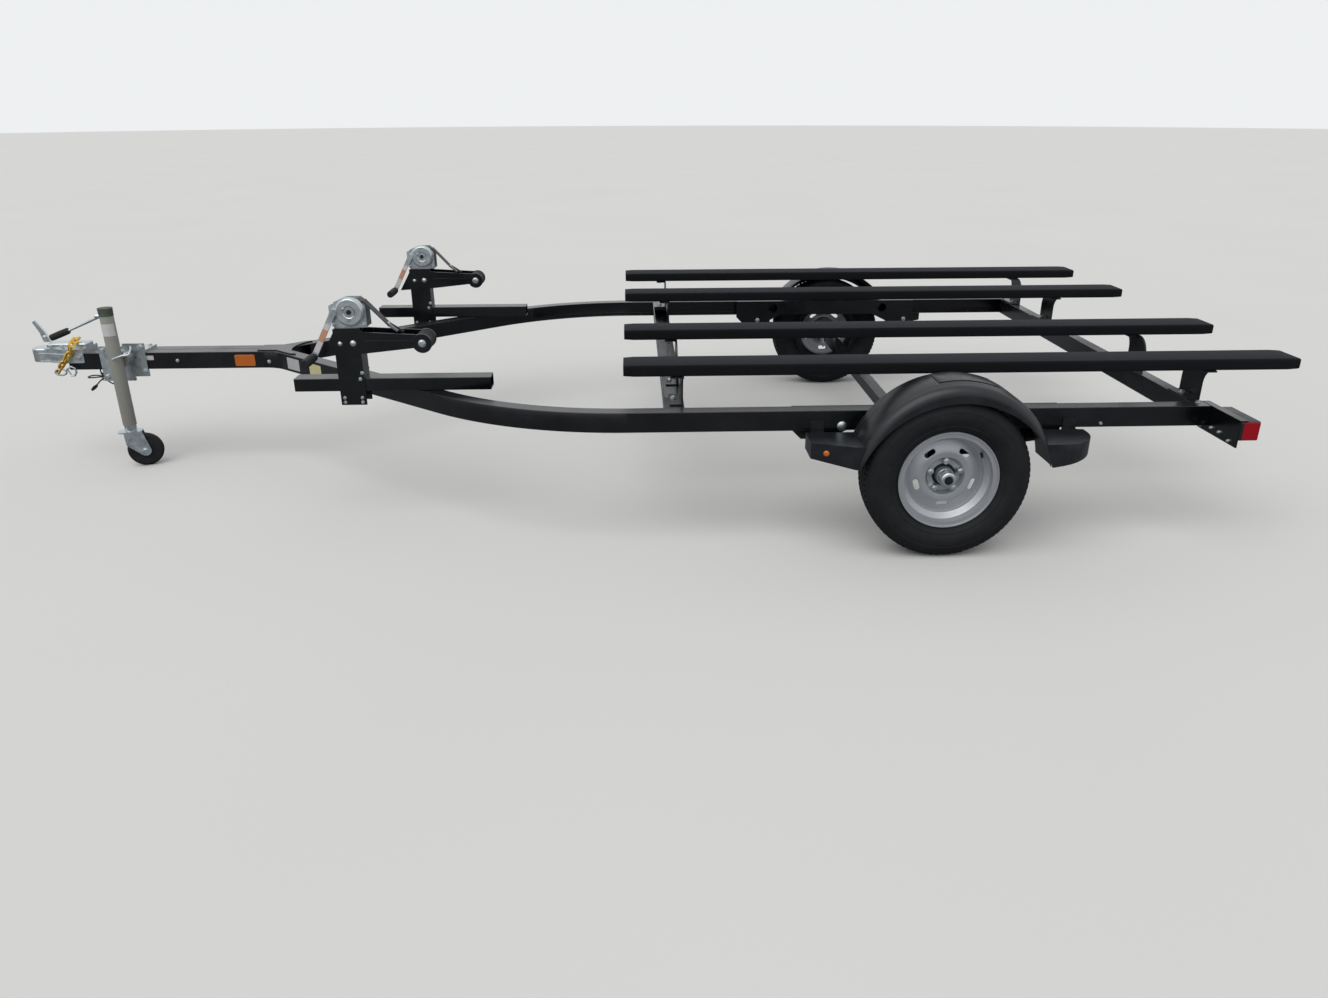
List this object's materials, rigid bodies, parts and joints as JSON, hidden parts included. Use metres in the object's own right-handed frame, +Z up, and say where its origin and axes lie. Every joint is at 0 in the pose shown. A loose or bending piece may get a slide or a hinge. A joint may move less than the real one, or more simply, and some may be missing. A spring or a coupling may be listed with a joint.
{
  "type": "boat trailer",
  "caption": "Steel trailer that carries two small boats side by side on carpeted bunks, with a straight tongue, ball coupler, swivel jack and winch posts.",
  "frame": {"origin": "centre of the bounding box at ground level, under the middle of the trailer", "axes": "+X to the rear, with the coupler at -X; +Y to the trailer's right-hand side; +Z up"},
  "size_m": [5.193, 2.58, 0.879],
  "materials": {
    "frame_paint": "satin",
    "fender_paint": "gloss",
    "spring_steel": "satin",
    "zinc_plate": "satin",
    "jack_paint": "satin",
    "leg_steel": "satin",
    "yellow_zinc": "satin",
    "bunk_carpet": "matte",
    "hub_steel": "satin",
    "wheel_paint": "satin",
    "tyre_rubber": "matte",
    "roller_rubber": "matte",
    "strap_web": "matte",
    "lamp_red": "gloss",
    "cable_black": "matte"
  },
  "bodies": {
    "trailer": {"rail_left": "frame_paint", "rail_right": "frame_paint", "tongue_liner_left": "frame_paint", "tongue_liner_right": "frame_paint", "tongue_gusset": "frame_paint", "crossmember_front": "frame_paint", "crossmember_rear": "frame_paint", "bunk_brackets_front": "frame_paint", "bunk_brackets_rear": "frame_paint", "axle_beam": "frame_paint", "hanger_left": "frame_paint", "hanger_right": "frame_paint", "support_tube_left": "frame_paint", "support_tube_right": "frame_paint", "winch_post_left": "frame_paint", "winch_post_right": "frame_paint", "winch_head_left": "frame_paint", "winch_head_right": "frame_paint", "lamp_bracket_left": "frame_paint", "lamp_bracket_right": "frame_paint", "fender_left": "fender_paint", "fender_right": "fender_paint", "spring_left": "spring_steel", "spring_right": "spring_steel", "spring_clamps": "spring_steel", "coupler": "zinc_plate", "coupler_latch": "zinc_plate", "jack_mount": "zinc_plate", "winch_left": "zinc_plate", "winch_right": "zinc_plate", "winch_crank_left": "zinc_plate", "winch_crank_right": "zinc_plate", "safety_chain": "yellow_zinc", "bunk_left_outer": "bunk_carpet", "bunk_left_inner": "bunk_carpet", "bunk_right_inner": "bunk_carpet", "bunk_right_outer": "bunk_carpet", "winch_strap_left": "strap_web", "winch_strap_right": "strap_web", "tail_lamp_left": "lamp_red", "tail_lamp_right": "lamp_red", "harness_drop": "cable_black", "harness_hank": "cable_black", "harness_plug": "cable_black"},
    "wheel_left": {"hub_left": "hub_steel", "wheel_left": "wheel_paint", "tyre_left": "tyre_rubber"},
    "wheel_right": {"hub_right": "hub_steel", "wheel_right": "wheel_paint", "tyre_right": "tyre_rubber"},
    "jack_tube": {"jack_tube": "jack_paint", "jack_crank": "zinc_plate"},
    "jack_leg": {"jack_leg": "leg_steel"},
    "jack_fork": {"jack_fork": "zinc_plate"},
    "jack_wheel": {"jack_wheel": "roller_rubber"},
    "bow_roller_left": {"bow_roller_left": "roller_rubber"},
    "bow_roller_right": {"bow_roller_right": "roller_rubber"}
  },
  "joints": [
    {"name": "wheel_left_spin", "type": "hinge", "parent": "trailer", "child": "wheel_left", "pos_m": [1.2725, -1.196, 0.302], "axis": [0, 1, 0], "continuous": true},
    {"name": "wheel_right_spin", "type": "hinge", "parent": "trailer", "child": "wheel_right", "pos_m": [1.2725, 1.196, 0.302], "axis": [0, 1, 0], "continuous": true},
    {"name": "jack_swivel", "type": "hinge", "parent": "trailer", "child": "jack_tube", "pos_m": [-2.1575, -0.119, 0.495], "axis": [0, -1, 0], "range_deg": [0, 90]},
    {"name": "jack_screw", "type": "slide", "parent": "jack_tube", "child": "jack_leg", "axis": [0, 0, -1], "range_m": [-0.02, 0.19]},
    {"name": "jack_caster_swivel", "type": "hinge", "parent": "jack_leg", "child": "jack_fork", "pos_m": [-2.1575, -0.15, 0.17], "axis": [0, 0, 1], "continuous": true},
    {"name": "jack_wheel_spin", "type": "hinge", "parent": "jack_fork", "child": "jack_wheel", "pos_m": [-2.11615, -0.13495, 0.076], "axis": [-0.342, 0.9397, 0], "continuous": true},
    {"name": "bow_roller_left_spin", "type": "hinge", "parent": "trailer", "child": "bow_roller_left", "pos_m": [-0.6635, -0.705, 0.701], "axis": [0, 1, 0], "continuous": true},
    {"name": "bow_roller_right_spin", "type": "hinge", "parent": "trailer", "child": "bow_roller_right", "pos_m": [-0.6635, 0.705, 0.701], "axis": [0, 1, 0], "continuous": true}
  ]
}
